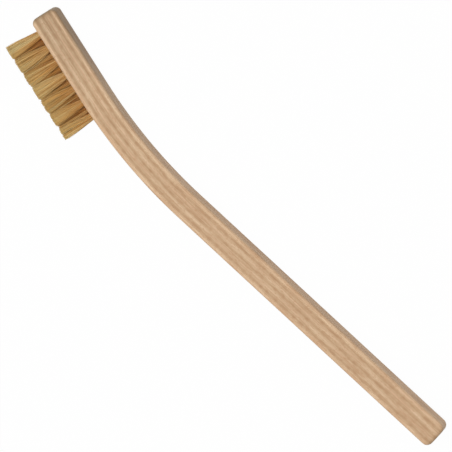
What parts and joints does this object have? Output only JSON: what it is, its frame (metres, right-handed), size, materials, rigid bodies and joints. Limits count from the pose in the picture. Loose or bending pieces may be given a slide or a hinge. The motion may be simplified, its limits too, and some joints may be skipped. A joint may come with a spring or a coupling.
{
  "type": "anti-static brush",
  "caption": "Slim hand brush with a bent laminated wooden handle and staggered rows of tan natural-hair tufts, for brushing dust off static-sensitive parts.",
  "frame": {"origin": "on the surface that the brush lies on, under the middle of its bounding box", "axes": "+X along the head from the toe towards the grip, +Y towards the back of the handle, away from the bristles' tips, +Z across the handle's width, from the side it lies on to the other"},
  "size_m": [0.1958, 0.058, 0.0111],
  "materials": {
    "long_grain_veneer": "bare sanded veneer, grain along the handle",
    "cross_grain_veneer": "bare sanded veneer, grain across the handle, end grain on the sides",
    "bristle_hair": "tan natural hair, satin",
    "staple_wire": "drawn steel wire"
  },
  "bodies": {
    "root": {"belly_face_veneer": "long_grain_veneer", "belly_cross_veneer": "cross_grain_veneer", "belly_core_veneer": "long_grain_veneer", "centre_cross_veneer": "cross_grain_veneer", "back_core_veneer": "long_grain_veneer", "back_cross_veneer": "cross_grain_veneer", "back_face_veneer": "long_grain_veneer", "tuft_right_1": "bristle_hair", "tuft_right_2": "bristle_hair", "tuft_right_3": "bristle_hair", "tuft_right_4": "bristle_hair", "tuft_right_5": "bristle_hair", "tuft_right_6": "bristle_hair", "tuft_right_7": "bristle_hair", "tuft_left_1": "bristle_hair", "tuft_left_2": "bristle_hair", "tuft_left_3": "bristle_hair", "tuft_left_4": "bristle_hair", "tuft_left_5": "bristle_hair", "tuft_left_6": "bristle_hair", "tuft_left_7": "bristle_hair", "tuft_middle_1": "bristle_hair", "tuft_middle_2": "bristle_hair", "tuft_middle_3": "bristle_hair", "tuft_middle_4": "bristle_hair", "tuft_middle_5": "bristle_hair", "tuft_middle_6": "bristle_hair", "staple_right_1": "staple_wire", "staple_right_2": "staple_wire", "staple_right_3": "staple_wire", "staple_right_4": "staple_wire", "staple_right_5": "staple_wire", "staple_right_6": "staple_wire", "staple_right_7": "staple_wire", "staple_left_1": "staple_wire", "staple_left_2": "staple_wire", "staple_left_3": "staple_wire", "staple_left_4": "staple_wire", "staple_left_5": "staple_wire", "staple_left_6": "staple_wire", "staple_left_7": "staple_wire", "staple_middle_1": "staple_wire", "staple_middle_2": "staple_wire", "staple_middle_3": "staple_wire", "staple_middle_4": "staple_wire", "staple_middle_5": "staple_wire", "staple_middle_6": "staple_wire"}
  },
  "joints": []
}
